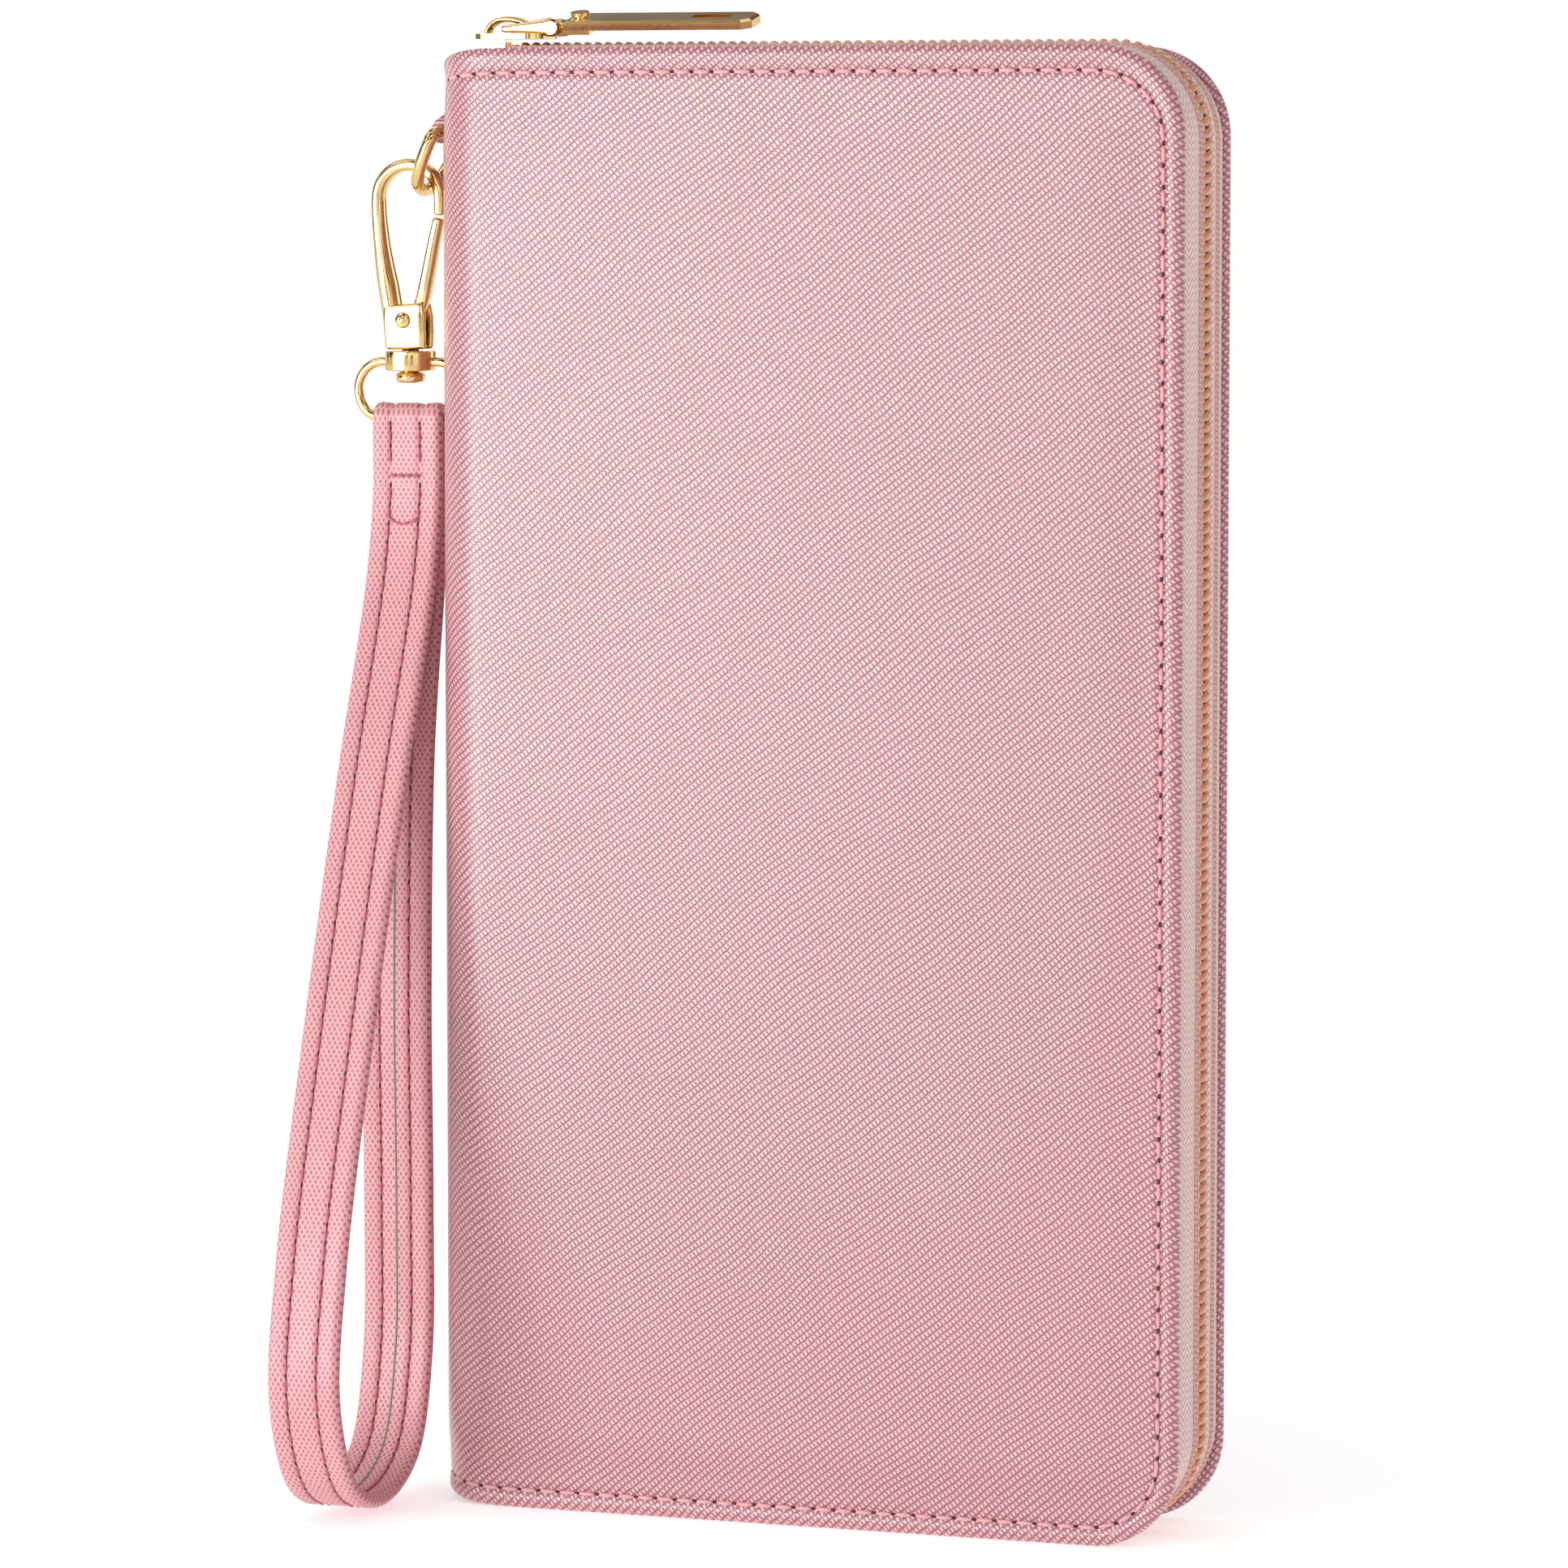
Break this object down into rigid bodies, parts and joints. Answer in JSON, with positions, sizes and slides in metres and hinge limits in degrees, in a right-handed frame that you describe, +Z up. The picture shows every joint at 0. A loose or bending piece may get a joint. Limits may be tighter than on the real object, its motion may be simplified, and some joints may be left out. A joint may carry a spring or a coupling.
{
  "type": "zip-around wristlet wallet",
  "caption": "Long zip-around wallet that opens like a book, with a metal pull on its zip and a wrist strap clipped to the spine by a swivel snap hook.",
  "frame": {"origin": "base of the spine's outer face, half way through the wallet's thickness", "axes": "+X from the spine to the long zipped side, +Y from the front cover to the back cover, +Z up the spine"},
  "size_m": [0.1222, 0.0522, 0.2052],
  "materials": {
    "spine_leather": "cross-hatch embossed pink leather, satin",
    "spine_lining": "plain woven lining",
    "ring_tab": "cross-hatch embossed pink leather, satin",
    "coin_pocket_front_wall": "smooth pink lining leather",
    "coin_pocket_back_wall": "smooth pink lining leather",
    "coin_pocket_gusset": "smooth pink lining leather",
    "coin_pocket_front_tape": "herringbone woven zip tape",
    "coin_pocket_back_tape": "herringbone woven zip tape",
    "coin_pocket_coil": "translucent peach nylon coil",
    "front_cover": "cross-hatch embossed pink leather, satin",
    "front_board": "fibre stiffener board",
    "front_lining": "plain woven lining",
    "front_card_leaf_1": "smooth pink lining leather",
    "front_card_leaf_2": "smooth pink lining leather",
    "front_card_leaf_3": "smooth pink lining leather",
    "front_zip_tape": "herringbone woven zip tape",
    "front_zip_coil": "translucent peach nylon coil",
    "back_cover": "cross-hatch embossed pink leather, satin",
    "back_board": "fibre stiffener board",
    "back_lining": "plain woven lining",
    "back_card_leaf_1": "smooth pink lining leather",
    "back_card_leaf_2": "smooth pink lining leather",
    "back_card_leaf_3": "smooth pink lining leather",
    "back_zip_tape": "herringbone woven zip tape",
    "back_zip_coil": "translucent peach nylon coil",
    "zip_top_stop": "polished pale gold plate",
    "zip_bottom_stop": "polished pale gold plate",
    "slider_body": "polished pale gold plate",
    "slider_bridge": "polished pale gold plate",
    "pull_link": "polished pale gold plate",
    "pull_pin": "polished pale gold plate",
    "pull_neck": "polished pale gold plate",
    "pull_rivet_head": "polished pale gold plate",
    "pull_tab": "polished pale gold plate",
    "coin_slider": "polished pale gold plate",
    "coin_pull": "polished pale gold plate",
    "d_ring": "polished pale gold plate",
    "hook_body": "polished pale gold plate",
    "gate_pin": "polished pale gold plate",
    "swivel_post": "polished pale gold plate",
    "hook_gate": "polished pale gold plate",
    "swivel_eye": "polished pale gold plate",
    "wrist_strap": "fine-grained pink leather, satin",
    "strap_core": "plain backing tape"
  },
  "bodies": {
    "spine": {"spine_leather": "spine_leather", "spine_lining": "spine_lining", "ring_tab": "ring_tab", "coin_pocket_front_wall": "coin_pocket_front_wall", "coin_pocket_back_wall": "coin_pocket_back_wall", "coin_pocket_gusset": "coin_pocket_gusset", "coin_pocket_front_tape": "coin_pocket_front_tape", "coin_pocket_back_tape": "coin_pocket_back_tape", "coin_pocket_coil": "coin_pocket_coil"},
    "front_half": {"front_cover": "front_cover", "front_board": "front_board", "front_lining": "front_lining", "front_card_leaf_1": "front_card_leaf_1", "front_card_leaf_2": "front_card_leaf_2", "front_card_leaf_3": "front_card_leaf_3", "front_zip_tape": "front_zip_tape", "front_zip_coil": "front_zip_coil"},
    "back_half": {"back_cover": "back_cover", "back_board": "back_board", "back_lining": "back_lining", "back_card_leaf_1": "back_card_leaf_1", "back_card_leaf_2": "back_card_leaf_2", "back_card_leaf_3": "back_card_leaf_3", "back_zip_tape": "back_zip_tape", "back_zip_coil": "back_zip_coil", "zip_top_stop": "zip_top_stop", "zip_bottom_stop": "zip_bottom_stop"},
    "zip_slider": {"slider_body": "slider_body", "slider_bridge": "slider_bridge"},
    "zip_link": {"pull_link": "pull_link", "pull_pin": "pull_pin"},
    "pull_neck": {"pull_neck": "pull_neck", "pull_rivet_head": "pull_rivet_head"},
    "pull_tab": {"pull_tab": "pull_tab"},
    "coin_slider": {"coin_slider": "coin_slider"},
    "coin_pull": {"coin_pull": "coin_pull"},
    "d_ring": {"d_ring": "d_ring"},
    "snap_hook": {"hook_body": "hook_body", "gate_pin": "gate_pin", "swivel_post": "swivel_post"},
    "hook_gate": {"hook_gate": "hook_gate"},
    "swivel_eye": {"swivel_eye": "swivel_eye"},
    "wrist_strap": {"wrist_strap": "wrist_strap", "strap_core": "strap_core"}
  },
  "joints": [
    {"name": "front_fold", "type": "hinge", "parent": "spine", "child": "front_half", "pos_m": [0.0022, -0.0098, 0], "axis": [0, 0, -1], "range_deg": [0, 85]},
    {"name": "back_fold", "type": "hinge", "parent": "spine", "child": "back_half", "pos_m": [0.0022, 0.0098, 0], "axis": [0, 0, 1], "range_deg": [0, 85]},
    {"name": "zip_slide", "type": "slide", "parent": "back_half", "child": "zip_slider", "axis": [1, 0, 0], "range_m": [0, 0.07]},
    {"name": "link_hinge", "type": "hinge", "parent": "zip_slider", "child": "zip_link", "pos_m": [0.0076, 0, 0.20275], "axis": [0, -1, 0], "range_deg": [0, 90]},
    {"name": "pull_hinge", "type": "hinge", "parent": "zip_link", "child": "pull_neck", "pos_m": [0.0142, 0, 0.20275], "axis": [0, -1, 0], "range_deg": [0, 90]},
    {"name": "pull_swivel", "type": "hinge", "parent": "pull_neck", "child": "pull_tab", "pos_m": [0.0176, 0, 0.203], "axis": [0, -0.225, 0.9744], "range_deg": [-12, 12]},
    {"name": "coin_zip_slide", "type": "slide", "parent": "spine", "child": "coin_slider", "axis": [0, 0, -1], "range_m": [0, 0.16]},
    {"name": "coin_pull_hinge", "type": "hinge", "parent": "coin_slider", "child": "coin_pull", "pos_m": [0.1022, 0, 0.18], "axis": [0, -1, 0], "range_deg": [0, 10]},
    {"name": "d_ring_hinge", "type": "hinge", "parent": "spine", "child": "d_ring", "pos_m": [-0.0021, 0, 0.1886], "axis": [0, 1, 0], "range_deg": [0, 95]},
    {"name": "hook_swing", "type": "hinge", "parent": "d_ring", "child": "snap_hook", "pos_m": [-0.0056, 0, 0.1807], "axis": [0, 1, 0], "range_deg": [0, 60]},
    {"name": "gate_hinge", "type": "hinge", "parent": "snap_hook", "child": "hook_gate", "pos_m": [-0.0082, 0, 0.1628], "axis": [0, -1, 0], "range_deg": [0, 20], "stiffness_Nm_per_rad": 0.004, "springref_deg": -11.46},
    {"name": "eye_swivel", "type": "hinge", "parent": "snap_hook", "child": "swivel_eye", "pos_m": [-0.0078, 0, 0.157], "axis": [0, 0, -1], "range_deg": [0, 180]},
    {"name": "strap_swing", "type": "hinge", "parent": "swivel_eye", "child": "wrist_strap", "pos_m": [-0.0078, 0, 0.1494], "axis": [1, 0, 0], "range_deg": [-80, 80]}
  ]
}
